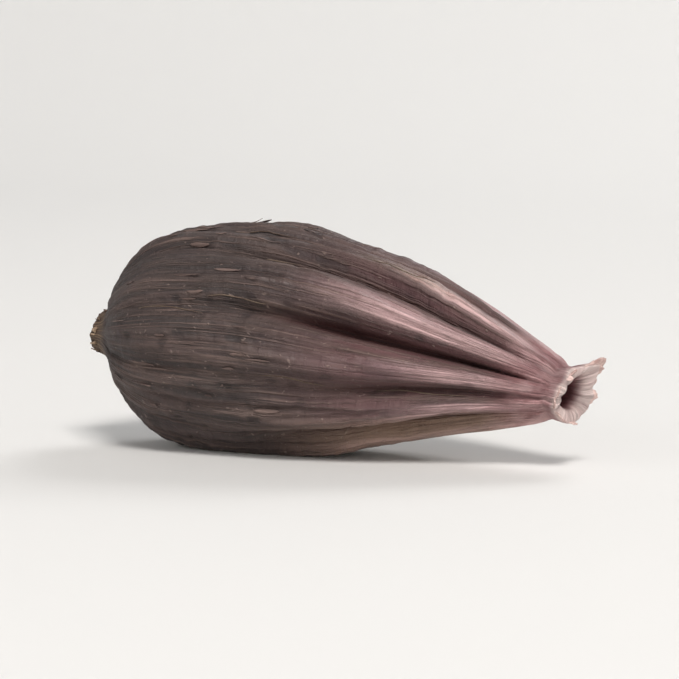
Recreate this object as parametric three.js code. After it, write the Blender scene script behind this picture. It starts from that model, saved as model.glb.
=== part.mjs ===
// A dried black cardamom pod, lying on its side. It is one closed capsule: a broken stalk at the
// blunt end, a ribbed teardrop body, and at the pointed end the open collar that the flower left.
// Units are millimetres. +X runs along the pod to the collar and +Z is up. The origin is on the
// small flat spot of the belly that the pod rests on.
import * as THREE from "three";
import { mergeVertices } from "three/addons/utils/BufferGeometryUtils.js";

// Driving dimensions. Distances along the pod start at the broken end of the stalk.
const POD_LENGTH = 23.4;
const GIRTH_RADIUS = 5.5;
const REST_STATION = 8.8; // distance along the pod of the origin
const STALK_RADIUS = 1.2;
const STALK_LENGTH = 0.45;
const STALK_DIMPLE = 0.3; // hollow in the middle of the broken stalk end
const STALK_SLANT = 0.3; // how far the break leans, from one side to the other
const COLLAR_RADIUS = 1.2;
const COLLAR_LENGTH = 1.4;
const LIP_RADIUS = 1.22; // the collar ends in a rolled lip
const COLLAR_HOLE_RADIUS = 0.6;
const COLLAR_HOLE_DEPTH = 1.7;
const RIM_SLANT = 0.45; // the rim is torn lower on the -Y side and stands higher on the +Y side
const RIM_WAVE = 0.1; // uneven height of the collar rim
const TOOTH_LENGTH = 0.45; // one thin lobe of the collar rim still stands, at the top
const TOOTH_FLARE = 0.5;

// How the pod lies: the axis is this high over the belly, droops to the tip and sways sideways.
const AXIS_HEIGHT = 5.15;
const TIP_DROOP = 1.95;
const DROOP_POWER = 1.6;
const SIDE_SWAY = 0.35;
const RIB_TWIST = -0.06; // turn of the ribs about the axis, from stalk to collar, in radians

// Relief of the skin, as shares of the radius where it lies.
const BOLD_RIBS = 10;
const BOLD_DEPTH = 0.27;
const FINE_RIBS = 22;
const FINE_DEPTH = 0.045;
const LOBES = 3;
const LOBE_HEIGHT = 0.05;
const DENT_DEPTH = 0.032;
const LUMP_HEIGHT = 0.014;

// Facets of the solid. Each rib has the same number of sectors.
const SECTORS = 12 * BOLD_RIBS;
const RINGS = 36;
const SETTLING_ROUNDS = 10; // in which a sector settles on its rib

const { smoothstep } = THREE.MathUtils;

// Outline of the skin as radius against distance along the pod, from stalk end to the neck.
function skinOutline() {
  const neck = POD_LENGTH - COLLAR_LENGTH;
  return new THREE.SplineCurve([
    new THREE.Vector2(0.85 * STALK_RADIUS, 0),
    new THREE.Vector2(STALK_RADIUS, STALK_LENGTH),
    new THREE.Vector2(0.38 * GIRTH_RADIUS, 0.047 * POD_LENGTH),
    new THREE.Vector2(0.67 * GIRTH_RADIUS, 0.092 * POD_LENGTH),
    new THREE.Vector2(0.92 * GIRTH_RADIUS, 0.18 * POD_LENGTH),
    new THREE.Vector2(GIRTH_RADIUS, 0.32 * POD_LENGTH),
    new THREE.Vector2(0.95 * GIRTH_RADIUS, 0.47 * POD_LENGTH),
    new THREE.Vector2(0.77 * GIRTH_RADIUS, 0.655 * POD_LENGTH),
    new THREE.Vector2(0.5 * GIRTH_RADIUS, 0.815 * POD_LENGTH),
    new THREE.Vector2(1.3 * COLLAR_RADIUS, neck),
  ]);
}

// The whole turned profile: stalk face, skin, collar with its lip, and the blind hole inside it.
function turnedProfile() {
  const holeFloor = POD_LENGTH - COLLAR_HOLE_DEPTH;
  return [
    new THREE.Vector2(0, STALK_DIMPLE),
    ...skinOutline().getSpacedPoints(RINGS),
    new THREE.Vector2(COLLAR_RADIUS, POD_LENGTH - 0.55 * COLLAR_LENGTH),
    new THREE.Vector2(0.5 * (COLLAR_RADIUS + LIP_RADIUS), POD_LENGTH - 0.3 * COLLAR_LENGTH),
    new THREE.Vector2(LIP_RADIUS, POD_LENGTH - 0.1 * COLLAR_LENGTH),
    new THREE.Vector2(0.94 * LIP_RADIUS, POD_LENGTH),
    new THREE.Vector2(1.25 * COLLAR_HOLE_RADIUS, POD_LENGTH),
    new THREE.Vector2(COLLAR_HOLE_RADIUS, 0.3 * holeFloor + 0.7 * POD_LENGTH),
    new THREE.Vector2(0.8 * COLLAR_HOLE_RADIUS, 0.9 * holeFloor + 0.1 * POD_LENGTH),
    new THREE.Vector2(0, holeFloor),
  ];
}

// Depth of one furrow, 1 in its bottom and 0 on the crests beside it. The crests are broad.
function furrow(phase) {
  const valley = 0.5 + 0.5 * Math.cos(phase);
  return 0.65 * valley ** 5 + 0.35 * valley;
}

// How far the ribs stray about the axis. Their spacing is uneven, and they swerve on their way.
function ribWander(around) {
  return 0.06 * (1 + Math.cos(around)) * Math.sin(2 * around + 0.5) - 0.325;
}

function ribMeander(share, around) {
  return 0.05 * Math.sin(7 * share + 2 * around);
}

// The angle about the axis where a line of the turned profile lies once it follows its rib.
function alongRib(share, turned) {
  let around = turned;
  for (let i = 0; i < SETTLING_ROUNDS; i++) {
    around = turned - ribWander(around) - ribMeander(share, around);
  }
  return around;
}

// Share by which the skin stands out of (above 0) or lies under (below 0) the turned outline.
// share is the distance along the pod from 0 to 1, and around is the angle about its axis.
function skinRelief(share, around) {
  const onSkin = smoothstep(share, 0.02, 0.1) * (1 - 0.8 * smoothstep(share, 0.87, 1));
  const onset = 0.28 + 0.05 * Math.sin(4 * around + 0.6);
  const boldAlong = 0.14 + 0.86 * smoothstep(share, onset, onset + 0.36);
  const boldAround = 0.88 + 0.12 * Math.sin(2 * around + 2.85) + 0.07 * Math.sin(5 * around + 0.4);
  const fineAlong = 1 - 0.75 * smoothstep(share, 0.45, 0.75);
  const fineAround = 0.8 + 0.3 * Math.sin(3 * around + 2.2);
  const wander = ribWander(around);
  const meander = ribMeander(share, around);
  const bold = BOLD_DEPTH * boldAlong * boldAround * furrow(BOLD_RIBS * (around + wander + meander));
  const fine = FINE_DEPTH * fineAlong * fineAround * furrow(FINE_RIBS * (around - wander + 0.6 * meander));
  const lobes = LOBE_HEIGHT * (1 - share) * Math.cos(LOBES * (around - 0.4));
  const dents = DENT_DEPTH * Math.sin(2 * around + 1.9 + 3 * share) * Math.sin(8 * share + 0.6);
  const lumps = LUMP_HEIGHT * Math.sin(7 * around + 5 * share) * Math.sin(23 * share + 2 * around);
  return onSkin * (lobes + dents + lumps - bold - fine);
}

// The lobe of the collar rim that still stands, 1 at its tip and 0 away from it.
function collarTooth(share, around) {
  return smoothstep(share, 0.965, 1) * Math.max(0, Math.sin(around + 0.28)) ** 9;
}

// How far a point slides along the pod, where the stalk broke aslant and the collar rim is uneven.
function endSlide(share, around) {
  const stalk = STALK_SLANT * (1 - smoothstep(share, 0, 0.05)) * Math.cos(around - 0.8);
  const slant = RIM_SLANT * smoothstep(share, 0.93, 1) * Math.cos(around);
  const wave = RIM_WAVE * smoothstep(share, 0.95, 1) * Math.sin(3 * around);
  return stalk + slant + wave + TOOTH_LENGTH * collarTooth(share, around);
}

// Where a point of the turned profile lies on the real pod.
function podPoint(along, radius, around) {
  const share = along / POD_LENGTH;
  const edge = Math.min(1, radius / STALK_RADIUS); // 0 on the axis and 1 on the skin
  const relief = edge * skinRelief(share, around);
  const out = radius * (1 + relief) + TOOTH_FLARE * collarTooth(share, around);
  const past = Math.max(0, along - REST_STATION) / (POD_LENGTH - REST_STATION);
  const drop = TIP_DROOP * past ** DROOP_POWER;
  const dropRate = (TIP_DROOP * DROOP_POWER * past ** (DROOP_POWER - 1)) / (POD_LENGTH - REST_STATION);
  const pitch = Math.atan(dropRate);
  const placed = around + RIB_TWIST * share;
  const up = out * Math.sin(placed);
  const forward = along - REST_STATION + edge * endSlide(share, around);
  return new THREE.Vector3(
    forward + up * Math.sin(pitch),
    out * Math.cos(placed) + SIDE_SWAY * Math.sin(Math.PI * share),
    Math.max(0, AXIS_HEIGHT - drop + up * Math.cos(pitch)),
  );
}

// Triangles that the merged poles have collapsed are left out.
function withoutCollapsedFaces(geometry) {
  const corners = geometry.index.array;
  const kept = [];
  for (let i = 0; i < corners.length; i += 3) {
    const [a, b, c] = corners.subarray(i, i + 3);
    if (a !== b && b !== c && c !== a) kept.push(a, b, c);
  }
  return geometry.setIndex(kept);
}

// The turned profile as a closed mesh, with each vertex moved to its place on the pod.
function podGeometry() {
  const turned = new THREE.LatheGeometry(turnedProfile(), SECTORS);
  turned.deleteAttribute("normal");
  turned.deleteAttribute("uv");
  const geometry = withoutCollapsedFaces(mergeVertices(turned, 1e-3));
  const positions = geometry.getAttribute("position");
  const vertex = new THREE.Vector3();
  for (let i = 0; i < positions.count; i++) {
    vertex.fromBufferAttribute(positions, i);
    const around = alongRib(vertex.y / POD_LENGTH, Math.atan2(vertex.x, vertex.z));
    const moved = podPoint(vertex.y, Math.hypot(vertex.x, vertex.z), around);
    positions.setXYZ(i, moved.x, moved.y, moved.z);
  }
  geometry.computeVertexNormals();
  return geometry;
}

const huskMaterial = new THREE.MeshStandardMaterial({ color: 0x5c4844, roughness: 0.7, metalness: 0 });
const pod = new THREE.Mesh(podGeometry(), huskMaterial);
pod.name = "pod";

const blackCardamomPod = new THREE.Group();
blackCardamomPod.add(pod);

export default blackCardamomPod;
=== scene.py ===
"""Looks of a dried black cardamom pod: its husk, the torn collar at its tip and its broken stalk.

The pod is shaped in millimetres, straight and turned at first, and then laid down as its solid lies:
+X runs to the tip and +Z is up. Blender's own unit is the metre.
"""
import math
import random
from bisect import bisect_right
from collections import namedtuple
from math import cos, pi, sin

import bmesh
import bpy
from mathutils import Matrix, Vector, noise
from mathutils.geometry import interpolate_bezier


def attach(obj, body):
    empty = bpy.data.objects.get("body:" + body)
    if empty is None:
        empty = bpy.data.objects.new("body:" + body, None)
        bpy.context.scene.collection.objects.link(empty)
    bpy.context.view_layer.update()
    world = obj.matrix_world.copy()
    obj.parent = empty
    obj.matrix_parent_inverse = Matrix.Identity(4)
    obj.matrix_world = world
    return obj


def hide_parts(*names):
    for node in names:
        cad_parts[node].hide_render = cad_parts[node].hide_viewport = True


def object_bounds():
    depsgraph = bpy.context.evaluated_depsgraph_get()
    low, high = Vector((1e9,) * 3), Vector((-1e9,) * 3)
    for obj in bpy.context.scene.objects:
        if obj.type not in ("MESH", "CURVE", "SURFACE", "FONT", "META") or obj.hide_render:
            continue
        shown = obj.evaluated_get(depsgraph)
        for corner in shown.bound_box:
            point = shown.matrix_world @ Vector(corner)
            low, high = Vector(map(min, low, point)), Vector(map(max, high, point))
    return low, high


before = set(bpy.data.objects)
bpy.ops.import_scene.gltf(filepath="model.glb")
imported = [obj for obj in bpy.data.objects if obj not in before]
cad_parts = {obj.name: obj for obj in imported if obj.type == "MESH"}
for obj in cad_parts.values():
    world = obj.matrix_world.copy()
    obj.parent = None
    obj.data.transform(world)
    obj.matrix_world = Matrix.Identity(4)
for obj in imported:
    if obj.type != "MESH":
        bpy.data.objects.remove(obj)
cad_low, cad_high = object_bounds()

MM = 0.001  # one millimetre, in metres

# Driving dimensions of the pod in millimetres. Distances along it start at the broken stalk.
POD_LENGTH = 23.4
GIRTH_RADIUS = 5.5
REST_STATION = 8.8
STALK_RADIUS = 1.2
STALK_LENGTH = 0.45
STALK_DIMPLE = 0.3
STALK_SLANT = 0.3
COLLAR_RADIUS = 1.2
COLLAR_LENGTH = 1.4
LIP_RADIUS = 1.22
COLLAR_HOLE_RADIUS = 0.6
COLLAR_HOLE_DEPTH = 1.7
RIM_SLANT = 0.45
RIM_WAVE = 0.1
TOOTH_LENGTH = 0.45
TOOTH_FLARE = 0.5

# Angles about the axis in radians: of the rim's standing lobe, and of the long side of the break.
TOOTH_TURN = pi / 2 - 0.28
BREAK_TURN = 0.8

# How the pod lies.
AXIS_HEIGHT = 5.15
TIP_DROOP = 1.95
DROOP_POWER = 1.6
SIDE_SWAY = 0.35
RIB_TWIST = -0.06
BELLY_ROUNDING = 0.12

# Relief of the skin that the solid has too, as shares of the radius.
BOLD_RIBS = 10
BOLD_DEPTH = 0.27
FINE_RIBS = 22
FINE_DEPTH = 0.045
LOBES = 3
LOBE_HEIGHT = 0.05
DENT_DEPTH = 0.032
LUMP_HEIGHT = 0.014

# Angle of the palest rib about the axis, in radians: its crest carries the most painted highlight.
PALE_HIGHLIT_RIB = 2.4

# Finer relief, in millimetres.
FOLD_HEIGHT = 0.2
FIBRE_HEIGHT = 0.17
STRIA_HEIGHT = 0.1
NERVE_HEIGHT = 0.08
CRINKLE_HEIGHT = 0.07
PIT_DEPTH = 0.07
CREASE_DEPTH = 0.2
RIM_TATTER = 0.2
BREAK_TATTER = 0.14

# How far from the rim the pale edge and the dark of the hole reach, in millimetres; the dark is partly
# painted shade.
EDGE_START = 0.05
EDGE_OUTSIDE = 0.3
EDGE_INSIDE = 0.5
DARK_START = 0.15
DARK_FULL = 0.65

# Fineness of the husk's mesh.
SECTORS = 300
RING_STEP = 0.098

# Loose bits of the dry skin, in millimetres.
SHREDS = 13
SHRED_THICKNESS = 0.05
SHRED_ROOT = 0.16
FLAKES = 70
FLAKE_THICKNESS = 0.025
STRANDS = 14
STRAND_RADIUS = 0.028
STRAND_SIDES = 5
STRAND_STEPS = 12
STRAND_END = 0.4  # a strand's end, as a share of its radius
SPLINTERS = 120
SPLINTER_ROOT = 0.3

Skin = namedtuple("Skin", "relief flow deep crest nerve")


def smoothstep(value, low, high):
    """0 at low and before it, 1 at high and past it, and an eased share between them."""
    share = min(1.0, max(0.0, (value - low) / (high - low)))
    return share * share * (3 - 2 * share)


# The turned profile of the pod

def skin_knots():
    """Knots of the skin's outline, as distance along the pod and radius, from stalk end to rim."""
    return [
        Vector((0, 0.85 * STALK_RADIUS)),
        Vector((STALK_LENGTH, STALK_RADIUS)),
        Vector((0.047 * POD_LENGTH, 0.38 * GIRTH_RADIUS)),
        Vector((0.092 * POD_LENGTH, 0.67 * GIRTH_RADIUS)),
        Vector((0.18 * POD_LENGTH, 0.92 * GIRTH_RADIUS)),
        Vector((0.32 * POD_LENGTH, GIRTH_RADIUS)),
        Vector((0.47 * POD_LENGTH, 0.95 * GIRTH_RADIUS)),
        Vector((0.655 * POD_LENGTH, 0.77 * GIRTH_RADIUS)),
        Vector((0.815 * POD_LENGTH, 0.5 * GIRTH_RADIUS)),
        Vector((POD_LENGTH - COLLAR_LENGTH, 1.3 * COLLAR_RADIUS)),
        Vector((POD_LENGTH - 0.55 * COLLAR_LENGTH, COLLAR_RADIUS)),
        Vector((POD_LENGTH - 0.3 * COLLAR_LENGTH, 0.5 * (COLLAR_RADIUS + LIP_RADIUS))),
        Vector((POD_LENGTH - 0.1 * COLLAR_LENGTH, LIP_RADIUS)),
        Vector((POD_LENGTH, 0.94 * LIP_RADIUS)),
    ]


def stalk_face_knots():
    """Knots of the hollow face of the broken stalk, from the axis out to the skin."""
    return [
        Vector((STALK_DIMPLE, 0)),
        Vector((0.7 * STALK_DIMPLE, 0.4 * STALK_RADIUS)),
        Vector((0.1 * STALK_DIMPLE, 0.72 * STALK_RADIUS)),
    ]


def collar_hole_knots():
    """Knots of the rounded rim and of the hole inside the collar, from the skin in to the axis."""
    hole_floor = POD_LENGTH - COLLAR_HOLE_DEPTH
    return [
        Vector((POD_LENGTH + 0.02, 0.76 * LIP_RADIUS)),
        Vector((POD_LENGTH - 0.12, 1.15 * COLLAR_HOLE_RADIUS)),
        Vector((0.3 * hole_floor + 0.7 * POD_LENGTH, COLLAR_HOLE_RADIUS)),
        Vector((0.9 * hole_floor + 0.1 * POD_LENGTH, 0.8 * COLLAR_HOLE_RADIUS)),
        Vector((hole_floor, 0)),
    ]


def curve_through(knots):
    """A smooth line through the knots, with points about one ring step apart."""
    line = [knots[0]]
    last = len(knots) - 1
    for i in range(last):
        before, start, end, after = knots[max(0, i - 1)], knots[i], knots[i + 1], knots[min(last, i + 2)]
        steps = max(3, round((end - start).length / RING_STEP))
        handle_out = start + (end - before) / 6
        handle_in = end - (after - start) / 6
        line += interpolate_bezier(start, handle_out, handle_in, end, steps + 1)[1:]
    return line


def full_turn(shape, line, axis, steps):
    """A line of points joined by edges and spun once round an axis, closed and facing outwards."""
    points = [shape.verts.new(point) for point in line]
    edges = [shape.edges.new(pair) for pair in zip(points, points[1:])]
    bmesh.ops.spin(
        shape, geom=points + edges, cent=(0, 0, 0), axis=axis, angle=2 * pi, steps=steps, use_merge=True)
    bmesh.ops.remove_doubles(shape, verts=shape.verts, dist=1e-5)
    bmesh.ops.recalc_face_normals(shape, faces=shape.faces)


def skin_radius(outline, along):
    """Radius of the turned skin at a distance along the pod."""
    after = bisect_right(outline, along, key=lambda point: point.x)
    after = min(max(after, 1), len(outline) - 1)
    start, end = outline[after - 1], outline[after]
    return start.y + (along - start.x) / (end.x - start.x) * (end.y - start.y)


# The relief of the skin

def furrow(phase):
    """Depth of one furrow, 1 in its bottom and 0 on the broad crests beside it."""
    valley = 0.5 + 0.5 * cos(phase)
    return 0.65 * valley ** 5 + 0.35 * valley


def skin_at(share, around):
    """The skin at a share of the length and an angle about the axis: its relief as a share of the
    radius, the angle that follows the ribs, how deep in a furrow, how high on a rib and how near to
    the raised nerve of a rib it lies."""
    on_skin = smoothstep(share, 0.02, 0.1) * (1 - 0.8 * smoothstep(share, 0.87, 1))
    onset = 0.28 + 0.05 * sin(4 * around + 0.6)
    bold_along = 0.14 + 0.86 * smoothstep(share, onset, onset + 0.36)
    bold_around = 0.88 + 0.12 * sin(2 * around + 2.85) + 0.07 * sin(5 * around + 0.4)
    fine_along = 1 - 0.75 * smoothstep(share, 0.45, 0.75)
    fine_around = 0.8 + 0.3 * sin(3 * around + 2.2)
    wander = 0.06 * (1 + cos(around)) * sin(2 * around + 0.5) - 0.325
    meander = 0.05 * sin(7 * share + 2 * around)
    flow = around + wander + meander
    bold_furrow = bold_along * bold_around * furrow(BOLD_RIBS * flow)
    fine_furrow = fine_along * fine_around * furrow(FINE_RIBS * (around - wander + 0.6 * meander))
    lobes = LOBE_HEIGHT * (1 - share) * cos(LOBES * (around - 0.4))
    dents = DENT_DEPTH * sin(2 * around + 1.9 + 3 * share) * sin(8 * share + 0.6)
    lumps = LUMP_HEIGHT * sin(7 * around + 5 * share) * sin(23 * share + 2 * around)
    relief = on_skin * (lobes + dents + lumps - BOLD_DEPTH * bold_furrow - FINE_DEPTH * fine_furrow)
    deep = max(bold_furrow, 0.45 * fine_furrow)
    height = 0.5 - 0.5 * cos(BOLD_RIBS * flow)
    return Skin(relief, flow, on_skin * deep, on_skin * bold_along * height ** 2, bold_along * height ** 20)


def grain(along, angle, along_scale, around_scale):
    """A spot of the straightened skin, as a point of a noise that is drawn out along the ribs."""
    return Vector((along_scale * along, around_scale * cos(angle), around_scale * sin(angle)))


def ridged(spot):
    """Noise with sharp crests, 1 on them and falling to about 0 between them."""
    return (1 - min(1.0, 1.6 * abs(noise.noise(spot)))) ** 2


def fine_relief(along, share, around, skin):
    """Height in millimetres of the folds, fibres and crinkles of the dry skin, and how much a spot
    stands out among its neighbours and gets worn."""
    on_skin = smoothstep(share, 0.025, 0.07) * (1 - smoothstep(share, 0.94, 0.99))
    folds = FOLD_HEIGHT * noise.noise(grain(along, around, 0.2, 1.7))
    fibre = ridged(grain(along, skin.flow, 0.1, 6.5))
    stria = ridged(grain(along + 50, skin.flow, 0.22, 17))
    nerve = skin.nerve * smoothstep(noise.noise(grain(along + 20, skin.flow, 0.3, 2)), -0.3, 0.3)
    patch = smoothstep(noise.noise(grain(along + 90, around, 0.3, 1.5)), -0.15, 0.35)
    crinkle = patch * noise.noise(grain(along, around, 2.2, 4))
    pit = smoothstep(noise.noise(grain(along + 70, around, 1.3, 7)), 0.32, 0.6)
    crease = smoothstep(skin.deep, 0.72, 1.0)
    taper = 1 - 0.5 * smoothstep(share, 0.6, 0.93)
    threads = FIBRE_HEIGHT * (fibre - 0.6) + STRIA_HEIGHT * (stria - 0.6) + NERVE_HEIGHT * nerve
    hollows = CRINKLE_HEIGHT * crinkle - PIT_DEPTH * pit
    height = on_skin * (taper * (folds + threads + hollows) - CREASE_DEPTH * crease)
    worn = 0.45 * fibre + 0.4 * stria + 0.5 * nerve + 0.25 * crinkle - 0.5 * pit
    return height, worn


# Where the turned pod's points lie on the real one

def collar_tooth(share, around):
    """The lobe of the collar rim that still stands, 1 at its tip and 0 away from it."""
    return smoothstep(share, 0.965, 1) * max(0.0, cos(around - TOOTH_TURN)) ** 9


def end_slide(share, around, radius):
    """How far a point slides along the pod, where the stalk broke and the collar rim is torn."""
    at_break = 1 - smoothstep(share, 0, 0.05)
    at_rim = smoothstep(share, 0.95, 1)
    slant = STALK_SLANT * at_break * cos(around - BREAK_TURN)
    splinters = BREAK_TATTER * (1 - smoothstep(share, 0.008, 0.02)) * noise.noise(
        Vector((7, 3.2 * radius * cos(around), 3.2 * radius * sin(around))))
    tear = RIM_SLANT * smoothstep(share, 0.93, 1) * cos(around)
    wave = RIM_WAVE * at_rim * sin(3 * around)
    tatters = RIM_TATTER * at_rim * noise.noise(grain(radius, around, 1.5, 2.6))
    return slant + splinters + tear + wave + tatters + TOOTH_LENGTH * collar_tooth(share, around)


def laid(along, out, around, share):
    """A point of the straight pod, moved to where it lies on the drooping pod, in metres."""
    past = max(0.0, along - REST_STATION) / (POD_LENGTH - REST_STATION)
    drop = TIP_DROOP * past ** DROOP_POWER
    drop_rate = TIP_DROOP * DROOP_POWER * past ** (DROOP_POWER - 1) / (POD_LENGTH - REST_STATION)
    pitch = math.atan(drop_rate)
    placed = around + RIB_TWIST * share
    up = out * sin(placed)
    height = AXIS_HEIGHT - drop + up * cos(pitch)
    rested = 0.5 * (height + math.hypot(height, BELLY_ROUNDING))
    return MM * Vector((
        along - REST_STATION + up * sin(pitch),
        out * cos(placed) + SIDE_SWAY * sin(pi * share),
        rested,
    ))


def on_husk(outline, along, around, lift):
    """A spot of a loose bit, in metres: over the skin by the lift, which is in millimetres."""
    share = along / POD_LENGTH
    skin = skin_at(share, around)
    height, _ = fine_relief(along, share, around, skin)
    return laid(along, skin_radius(outline, along) * (1 + skin.relief) + height + lift, around, share)


# The husk

def make_husk():
    """The whole pod as one fine mesh, with what its material needs stored at each vertex."""
    husk = bmesh.new()
    profile = curve_through(stalk_face_knots() + skin_knots() + collar_hole_knots())
    full_turn(husk, [(point.x, 0, point.y) for point in profile], (1, 0, 0), SECTORS)
    grain_layer = husk.verts.layers.float_vector.new("grain")
    masks = ("deep", "crest", "worn", "rosy", "share", "rim", "inside", "belly")
    layer = {name: husk.verts.layers.float.new(name) for name in masks}
    for vertex in husk.verts:
        along = vertex.co.x
        radius = math.hypot(vertex.co.y, vertex.co.z)
        around = math.atan2(vertex.co.z, vertex.co.y)
        share = along / POD_LENGTH
        in_hole = share > 0.9 and radius < 0.8 * LIP_RADIUS
        skin = skin_at(share, around)
        height, worn = fine_relief(along, share, around, skin)
        edge = min(1.0, radius / STALK_RADIUS)
        out = radius * (1 + edge * skin.relief) + TOOTH_FLARE * collar_tooth(share, around)
        if not in_hole and radius > 0:
            out += height
        slid = along + edge * end_slide(share, around, radius)
        vertex[grain_layer] = grain(along, skin.flow, 1, GIRTH_RADIUS)
        vertex[layer["deep"]] = skin.deep
        vertex[layer["crest"]] = skin.crest
        vertex[layer["worn"]] = worn
        # Nearness to the palest rib: sets the crests' rosy tone and how much painted highlight they carry.
        vertex[layer["rosy"]] = 0.5 + 0.5 * cos(3 * (around - PALE_HIGHLIT_RIB))
        vertex[layer["share"]] = share
        from_rim = POD_LENGTH - along
        pale_reach = EDGE_INSIDE if in_hole else EDGE_OUTSIDE
        vertex[layer["rim"]] = smoothstep(from_rim, pale_reach, EDGE_START)
        # Dark of the hole, deepening away from the rim: partly painted shade of the hollow.
        vertex[layer["inside"]] = smoothstep(from_rim, DARK_START, DARK_FULL) if in_hole else 0.0
        vertex[layer["belly"]] = smoothstep(-sin(around + RIB_TWIST * share), 0.5, 0.8)
        vertex.co = laid(slid, out, around, share)
    return finished(husk, "husk", husk_material())


def finished(shape, name, material):
    """A shaped bmesh as an object with smooth faces, which rides on the pod."""
    mesh = bpy.data.meshes.new(name)
    shape.to_mesh(mesh)
    shape.free()
    mesh.shade_smooth()
    mesh.materials.append(material)
    piece = bpy.data.objects.new(name, mesh)
    bpy.context.scene.collection.objects.link(piece)
    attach(piece, "root")
    return piece


# Loose bits of the dry skin

def thickened(shape, thickness):
    """Gives thin sheets their thickness, with their faces pointing out."""
    bmesh.ops.recalc_face_normals(shape, faces=shape.faces)
    shape.normal_update()
    grown = bmesh.ops.extrude_face_region(shape, geom=shape.faces[:], use_keep_orig=True)["geom"]
    for part in grown:
        if isinstance(part, bmesh.types.BMVert):
            part.co += thickness * MM * part.normal
    bmesh.ops.recalc_face_normals(shape, faces=shape.faces)


def store_grain(shape):
    """Stores each vertex's place, in millimetres, as the grain that the streaks follow."""
    grain_layer = shape.verts.layers.float_vector.new("grain")
    for vertex in shape.verts:
        vertex[grain_layer] = vertex.co / MM


def add_shred(shape, middle, width, length, lean, curl):
    """A papery strip of the withered flower that still stands on the collar's rim."""
    sheet = bmesh.ops.create_grid(shape, x_segments=14, y_segments=6, size=0.5)
    for vertex in sheet["verts"]:
        across = vertex.co.x
        up = vertex.co.y + 0.5
        around = middle + across * (1 - 0.35 * up) * width / LIP_RADIUS
        skin = skin_at(1.0, around)
        torn = 0.9 - 1.3 * across * across + 0.4 * noise.noise(Vector((8 * across, 7 * middle, 3)))
        reach = length * up * torn
        slope = lean + curl * up
        root = POD_LENGTH - SHRED_ROOT + end_slide(1.0, around, LIP_RADIUS)
        out = 0.93 * LIP_RADIUS * (1 + skin.relief) + TOOTH_FLARE * collar_tooth(1.0, around)
        vertex.co = laid(root + reach * cos(slope), out + reach * sin(slope), around, 1.0)


def make_collar_shreds():
    """Ragged papery shreds round the rim of the collar, the tallest on its standing lobe."""
    draw = random.Random(5)
    shape = bmesh.new()
    for i in range(SHREDS):
        middle = 2 * pi * (i + draw.uniform(-0.3, 0.3)) / SHREDS
        width = draw.uniform(0.5, 1.0)
        length = draw.uniform(0.14, 0.4)
        add_shred(shape, middle, width, length, draw.uniform(0.0, 0.6), draw.uniform(-0.4, 0.7))
    add_shred(shape, TOOTH_TURN, width=0.8, length=0.5, lean=0.75, curl=0.3)
    thickened(shape, SHRED_THICKNESS)
    store_grain(shape)
    return finished(shape, "collar_shreds", shred_material())


def make_skin_flakes(outline):
    """Small scales of the outer skin that peel off the husk at one end."""
    draw = random.Random(11)
    shape = bmesh.new()
    for _ in range(FLAKES):
        start = draw.uniform(0.08, 0.42) * POD_LENGTH
        middle = draw.uniform(-0.2, 1.2) * pi
        length = draw.uniform(0.4, 1.5)
        width = draw.uniform(0.07, 0.2)
        lift = draw.uniform(0.03, 0.13)
        bow = draw.uniform(-0.3, 0.3)
        sheet = bmesh.ops.create_grid(shape, x_segments=9, y_segments=3, size=0.5)
        for vertex in sheet["verts"]:
            on = vertex.co.x + 0.5
            torn = 0.75 + 0.6 * noise.noise(Vector((4 * length * on, 6 * vertex.co.y, 9 * middle)))
            across = vertex.co.y * torn * (0.15 + 0.85 * sin(pi * on) ** 0.6) + bow * on * on
            along = start + length * on
            around = middle + across * width / skin_radius(outline, along)
            vertex.co = on_husk(outline, along, around, 0.01 + lift * on ** 3)
    thickened(shape, FLAKE_THICKNESS)
    store_grain(shape)
    return finished(shape, "skin_flakes", flake_material())


def add_strand(shape, path, radius):
    """A thin round thread swept along a path of points, finer at both ends."""
    across = (path[1] - path[0]).to_track_quat("Z", "Y").to_matrix().to_4x4()
    place = Matrix.Translation(path[0]) @ across
    start = bmesh.ops.create_circle(
        shape, cap_ends=True, segments=STRAND_SIDES, radius=STRAND_END * radius, matrix=place)
    edges = list({edge for vertex in start["verts"] for edge in vertex.link_edges})
    thick = STRAND_END
    for i in range(1, len(path)):
        grown = bmesh.ops.extrude_edge_only(shape, edges=edges)["geom"]
        ring = [part for part in grown if isinstance(part, bmesh.types.BMVert)]
        edges = [part for part in grown if isinstance(part, bmesh.types.BMEdge)
                 and all(end in ring for end in part.verts)]
        wanted = STRAND_END + (1 - STRAND_END) * sin(pi * i / (len(path) - 1))
        bmesh.ops.translate(shape, verts=ring, vec=path[i] - path[i - 1])
        bmesh.ops.scale(
            shape, verts=ring, vec=3 * (wanted / thick,), space=Matrix.Translation(-path[i]))
        thick = wanted
    bmesh.ops.edgeloop_fill(shape, edges=edges)


def make_loose_strands(outline):
    """Fine threads that have come off the ribs and stand away from the husk at an end."""
    draw = random.Random(23)
    shape = bmesh.new()
    for _ in range(STRANDS):
        start = draw.uniform(0.12, 0.7) * POD_LENGTH
        middle = draw.uniform(-0.2, 1.2) * pi
        length = draw.uniform(1.6, 4.2)
        drift = draw.uniform(-0.05, 0.05)
        free_end = draw.uniform(0.06, 0.3)
        path = []
        for i in range(STRAND_STEPS + 1):
            on = i / STRAND_STEPS
            around = middle + drift * on * on + 0.015 * sin(5 * on + middle)
            path.append(on_husk(outline, start + length * on, around, 0.02 + free_end * on ** 4))
        add_strand(shape, path, STRAND_RADIUS * MM)
    bmesh.ops.recalc_face_normals(shape, faces=shape.faces)
    store_grain(shape)
    return finished(shape, "loose_strands", straw_material("strand_straw", 0.7))


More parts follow.
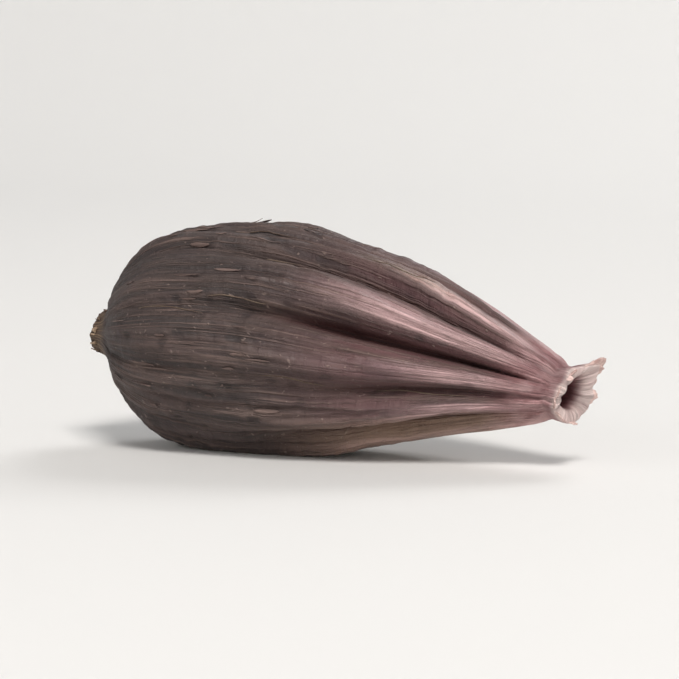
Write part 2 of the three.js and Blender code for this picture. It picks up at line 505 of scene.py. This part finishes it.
def make_stalk_splinters():
    """The torn ends of the stalk's fibres, standing out of its broken face."""
    draw = random.Random(31)
    shape = bmesh.new()
    for _ in range(SPLINTERS):
        out = 0.97 * STALK_RADIUS * math.sqrt(draw.random())
        around = draw.uniform(0, 2 * pi)
        length = draw.uniform(0.1, 0.45) * (0.55 + 0.45 * out / STALK_RADIUS)
        thick = draw.uniform(0.04, 0.1)
        root = SPLINTER_ROOT + STALK_SLANT * cos(around - BREAK_TURN) * out / STALK_RADIUS
        tilt = Vector((-1, draw.uniform(-0.45, 0.45), draw.uniform(-0.45, 0.45)))
        turn = tilt.to_track_quat("Z", "Y").to_matrix().to_4x4()
        place = Matrix.Translation(laid(root, out, around, 0.0)) @ turn
        middle = Matrix.Translation((0, 0, 0.5 * length * MM))
        bmesh.ops.create_cone(
            shape, cap_ends=True, segments=6, radius1=thick * MM, radius2=0.4 * thick * MM,
            depth=length * MM, matrix=place @ middle)
    store_grain(shape)
    return finished(shape, "stalk_splinters", straw_material("stalk_straw", 1.0))


# Materials

def colour(red, green, blue):
    """A colour given in display values of 0 to 255, as Blender's linear values."""
    def linear(value):
        value /= 255
        return value / 12.92 if value <= 0.04045 else ((value + 0.055) / 1.055) ** 2.4
    return (linear(red), linear(green), linear(blue), 1)


def add(tree, kind, inputs=(), **settings):
    """A new node, with its settings, and the values or links of its input sockets."""
    made = tree.nodes.new(kind)
    for name, value in settings.items():
        setattr(made, name, value)
    for name, value in dict(inputs).items():
        if isinstance(value, bpy.types.NodeSocket):
            tree.links.new(value, made.inputs[name])
        else:
            made.inputs[name].default_value = value
    return made


def stored(tree, name, output="Fac"):
    """A value or vector that the mesh stores at its vertices."""
    return add(tree, "ShaderNodeAttribute", attribute_name=name).outputs[output]


def ranged(tree, value, low, high, to_low=0.0, to_high=1.0):
    """A value eased from low and high to new limits."""
    inputs = {"Value": value, "From Min": low, "From Max": high, "To Min": to_low, "To Max": to_high}
    return add(tree, "ShaderNodeMapRange", inputs, interpolation_type="SMOOTHSTEP").outputs["Result"]


def times(tree, first, second):
    """The product of two values."""
    return add(tree, "ShaderNodeMath", {0: first, 1: second}, operation="MULTIPLY").outputs[0]


def plus(tree, first, second):
    """The sum of two values."""
    return add(tree, "ShaderNodeMath", {0: first, 1: second}, operation="ADD").outputs[0]


def mixed(tree, share, under, over):
    """The colour under, covered by a share of the colour over."""
    return add(tree, "ShaderNodeMix", {0: share, 6: under, 7: over}, data_type="RGBA").outputs[2]


def streak_group():
    """Streaks that run along the pod, as a mask: they follow the stored grain of the skin."""
    tree = bpy.data.node_groups.new("skin_streaks", "ShaderNodeTree")
    for name in ("Along", "Around", "Detail", "Low", "High"):
        tree.interface.new_socket(name, in_out="INPUT", socket_type="NodeSocketFloat")
    tree.interface.new_socket("Mask", in_out="OUTPUT", socket_type="NodeSocketFloat")
    given = add(tree, "NodeGroupInput").outputs
    scale = add(tree, "ShaderNodeCombineXYZ", {0: given["Along"], 1: given["Around"], 2: given["Around"]})
    spot = add(
        tree, "ShaderNodeVectorMath", {0: stored(tree, "grain", "Vector"), 1: scale.outputs[0]},
        operation="MULTIPLY")
    cloud = add(
        tree, "ShaderNodeTexNoise",
        {"Vector": spot.outputs[0], "Scale": 1.0, "Detail": given["Detail"], "Roughness": 0.55})
    mask = ranged(tree, cloud.outputs["Fac"], given["Low"], given["High"])
    add(tree, "NodeGroupOutput", {"Mask": mask})
    return tree


def streaks(tree, along, around, detail, low, high):
    """One set of streaks, by how finely they lie along and around the pod and how sharp they are."""
    inputs = {"Along": along, "Around": around, "Detail": detail, "Low": low, "High": high}
    return add(tree, "ShaderNodeGroup", inputs, node_tree=SKIN_STREAKS).outputs["Mask"]


def new_material(name):
    """A node material with a Principled shader, as its tree and that shader."""
    material = bpy.data.materials.new(name)
    material.use_nodes = True
    tree = material.node_tree
    return material, tree, tree.nodes["Principled BSDF"]


def set_bump(tree, shader, height, strength, distance):
    """Fine relief in the shader's normals, with its full height in millimetres."""
    bump = add(tree, "ShaderNodeBump", {"Height": height, "Strength": strength, "Distance": distance * MM})
    tree.links.new(bump.outputs["Normal"], shader.inputs["Normal"])


def husk_material():
    """Dry husk: dull grey-brown, rosier on the ribs of the tip, with painted shade in the furrows, painted
    highlights on the crests and pale streaks.
    """
    material, tree, shader = new_material("husk")
    deep = stored(tree, "deep")
    crest = stored(tree, "crest")
    worn = stored(tree, "worn")
    rosy = stored(tree, "rosy")
    share = stored(tree, "share")
    tipward = ranged(tree, share, 0.36, 0.7)
    broad = streaks(tree, 0.1, 0.6, 4.0, 0.36, 0.66)
    fine = streaks(tree, 0.14, 3.4, 5.0, 0.4, 0.66)
    hairline = streaks(tree, 0.22, 9.0, 3.0, 0.5, 0.66)
    blotch = streaks(tree, 0.55, 0.8, 5.0, 0.45, 0.7)
    wrinkle = streaks(tree, 3.2, 1.1, 4.0, 0.4, 0.68)
    speck = streaks(tree, 3.6, 5.0, 1.0, 0.68, 0.77)
    mottle = streaks(tree, 0.7, 0.4, 4.0, 0.38, 0.64)

    # Lighter and rosier towards the tip: partly the husk's own colour, partly painted light on that half.
    skin = mixed(tree, tipward, colour(56, 48, 47), colour(98, 67, 68))
    skin = mixed(tree, times(tree, broad, 0.55), skin, colour(44, 33, 32))
    skin = mixed(tree, ranged(tree, worn, 0.25, 0.85, 0.0, 0.5), skin, colour(104, 85, 80))
    skin = mixed(tree, ranged(tree, worn, 0.2, -0.15, 0.0, 0.5), skin, colour(34, 25, 25))
    skin = mixed(tree, times(tree, fine, 0.4), skin, colour(90, 73, 68))
    skin = mixed(tree, times(tree, blotch, 0.35), skin, colour(52, 38, 41))
    # Paler crests to the tip: partly their own colour, partly painted highlight, strongest on the palest
    # rib.
    pale_crest_highlight = times(tree, ranged(tree, crest, 0.12, 0.85), ranged(tree, share, 0.44, 0.77))
    pale_crest_highlight = times(tree, pale_crest_highlight, ranged(tree, fine, 0.0, 1.0, 0.5, 1.0))
    least = ranged(tree, share, 0.6, 0.8, 0.4, 0.9)
    pale_crest_highlight = times(tree, pale_crest_highlight, ranged(tree, rosy, 0.0, 1.0, least, 1.0))
    highlight_pinkness = ranged(tree, rosy, 0.5, 0.95, ranged(tree, share, 0.64, 0.8, 0.0, 0.8), 1.0)
    crest_highlight_colour = mixed(tree, ranged(tree, rosy, 0.15, 0.5), colour(128, 96, 101), colour(160, 135, 119))
    crest_highlight_colour = mixed(tree, highlight_pinkness, crest_highlight_colour, colour(218, 181, 181))
    skin = mixed(tree, pale_crest_highlight, skin, crest_highlight_colour)
    beige = times(tree, times(tree, stored(tree, "belly"), tipward), 0.65)
    skin = mixed(tree, beige, skin, colour(138, 114, 94))
    skin = mixed(tree, times(tree, hairline, 0.35), skin, colour(140, 117, 108))
    skin = mixed(tree, times(tree, speck, 0.5), skin, colour(150, 130, 121))
    # Painted shade: the bottoms of the furrows darkened to a deep red-brown.
    skin = mixed(tree, ranged(tree, deep, 0.45, 0.95, 0.0, 0.96), skin, colour(56, 21, 20))
    collar = mixed(tree, mottle, colour(158, 112, 114), colour(206, 167, 167))
    skin = mixed(tree, ranged(tree, share, 0.83, 0.95, 0.0, 0.82), skin, collar)
    rim = ranged(tree, mottle, 0.0, 1.0, 0.6, 0.95)
    skin = mixed(tree, times(tree, stored(tree, "rim"), rim), skin, colour(242, 221, 216))
    stalk = mixed(tree, fine, colour(84, 66, 54), colour(150, 124, 100))
    skin = mixed(tree, ranged(tree, share, 0.045, 0.02, 0.0, 0.85), skin, stalk)
    # The hole's dark red inside: partly the tube's own colour, partly painted shade of the hollow.
    skin = mixed(tree, stored(tree, "inside"), skin, colour(96, 38, 43))
    tree.links.new(skin, shader.inputs["Base Color"])

    dry = plus(tree, ranged(tree, crest, 0.0, 1.0, 0.66, 0.4), times(tree, fine, 0.12))
    tree.links.new(dry, shader.inputs["Roughness"])
    shader.inputs["Specular IOR Level"].default_value = 0.5

    height = plus(tree, times(tree, fine, 0.6), times(tree, hairline, 0.7))
    height = plus(tree, height, times(tree, blotch, 0.4))
    height = plus(tree, height, times(tree, wrinkle, 0.35))
    height = plus(tree, height, times(tree, speck, 0.3))
    set_bump(tree, shader, height, 0.9, 0.11)
    return material


def shred_material():
    """Withered petal skin: papery, pale and rosy, with darker veins."""
    material, tree, shader = new_material("papery_shred")
    vein = streaks(tree, 0.8, 5.0, 3.0, 0.45, 0.62)
    stain = streaks(tree, 1.2, 1.4, 3.0, 0.45, 0.7)
    paper = mixed(tree, times(tree, vein, 0.5), colour(216, 189, 182), colour(166, 129, 122))
    paper = mixed(tree, times(tree, stain, 0.5), paper, colour(132, 94, 88))
    tree.links.new(paper, shader.inputs["Base Color"])
    shader.inputs["Roughness"].default_value = 0.6
    set_bump(tree, shader, vein, 0.6, 0.04)
    return material


def flake_material():
    """Scales of the outer skin, dusty and paler than the husk under them."""
    material, tree, shader = new_material("skin_flake")
    tone = streaks(tree, 0.3, 0.6, 3.0, 0.35, 0.65)
    line = streaks(tree, 0.4, 7.0, 3.0, 0.45, 0.65)
    scale = mixed(tree, tone, colour(62, 48, 46), colour(100, 82, 76))
    scale = mixed(tree, times(tree, line, 0.45), scale, colour(136, 114, 106))
    tree.links.new(scale, shader.inputs["Base Color"])
    shader.inputs["Roughness"].default_value = 0.7
    set_bump(tree, shader, line, 0.6, 0.03)
    return material


def straw_material(name, paleness):
    """Bare dry fibre, from brown to straw."""
    material, tree, shader = new_material(name)
    tone = streaks(tree, 0.6, 2.4, 3.0, 0.35, 0.65)
    line = streaks(tree, 0.5, 14.0, 2.0, 0.4, 0.65)
    pale = colour(168 * paleness, 144 * paleness, 120 * paleness)
    fibre = mixed(tree, tone, colour(88, 70, 60), pale)
    fibre = mixed(tree, times(tree, line, 0.35), fibre, colour(60, 44, 36))
    tree.links.new(fibre, shader.inputs["Base Color"])
    shader.inputs["Roughness"].default_value = 0.75
    set_bump(tree, shader, line, 0.6, 0.03)
    return material


# Stage, light and camera

def make_floor():
    """A pale floor that curves up all round, so that no horizon shows."""
    floor_radius = 0.25
    cove_radius = 0.25
    cove_steps = 24
    line = [(0, 0, 0), (floor_radius, 0, 0)]
    for step in range(1, cove_steps + 1):
        turn = step / cove_steps * pi / 2
        line.append((floor_radius + cove_radius * sin(turn), 0, cove_radius * (1 - cos(turn))))
    bowl = bmesh.new()
    full_turn(bowl, line, (0, 0, 1), 96)
    bmesh.ops.reverse_faces(bowl, faces=bowl.faces)
    mesh = bpy.data.meshes.new("floor")
    bowl.to_mesh(mesh)
    bowl.free()
    mesh.shade_smooth()
    material, _, shader = new_material("pale_floor")
    shader.inputs["Base Color"].default_value = colour(222, 221, 219)
    shader.inputs["Roughness"].default_value = 0.85
    mesh.materials.append(material)
    floor = bpy.data.objects.new("floor", mesh)
    bpy.context.scene.collection.objects.link(floor)


def soft_light(name, place, size, watts, warmth):
    """A square area light that faces the pod."""
    data = bpy.data.lights.new(name, "AREA")
    data.size = size
    data.energy = watts
    data.color = warmth
    light = bpy.data.objects.new(name, data)
    target = (cad_low + cad_high) / 2
    light.location = place
    light.rotation_euler = (target - Vector(place)).to_track_quat("-Z", "Y").to_euler()
    bpy.context.scene.collection.objects.link(light)


def light_stage():
    """Soft studio light: a key over the tip's side, a weak fill and a strip from behind."""
    soft_light("key", (0.25, -0.32, 0.5), 0.2, 3.5, (1.0, 0.97, 0.94))
    soft_light("fill", (-0.3, -0.4, 0.2), 0.3, 0.5, (0.95, 0.97, 1.0))
    soft_light("strip", (0.08, 0.46, 0.42), 0.26, 1.5, (1.0, 1.0, 1.0))
    world = bpy.data.worlds.new("studio")
    world.use_nodes = True
    sky = world.node_tree.nodes["Background"]
    sky.inputs["Color"].default_value = (0.95, 0.97, 1.0, 1)
    sky.inputs["Strength"].default_value = 0.18
    bpy.context.scene.world = world
    bpy.context.scene.view_settings.view_transform = "Standard"


def make_camera():
    """A long lens, nearly level, with the tip of the pod to the right and a little nearer."""
    azimuth = math.radians(24)
    elevation = math.radians(6)
    distance = 0.116
    data = bpy.data.cameras.new("camera")
    data.lens = 135
    data.clip_start = 0.005
    back = Vector((sin(azimuth) * cos(elevation), -cos(azimuth) * cos(elevation), sin(elevation)))
    camera = bpy.data.objects.new("camera", data)
    camera.location = (cad_low + cad_high) / 2 + distance * back
    camera.rotation_euler = (-back).to_track_quat("-Z", "Y").to_euler()
    bpy.context.scene.collection.objects.link(camera)
    bpy.context.scene.camera = camera


SKIN_STREAKS = streak_group()
make_camera()
light_stage()
make_floor()
skin_outline = curve_through(skin_knots())
husk_piece = make_husk()
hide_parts("pod")
make_collar_shreds()
make_skin_flakes(skin_outline)
make_loose_strands(skin_outline)
make_stalk_splinters()
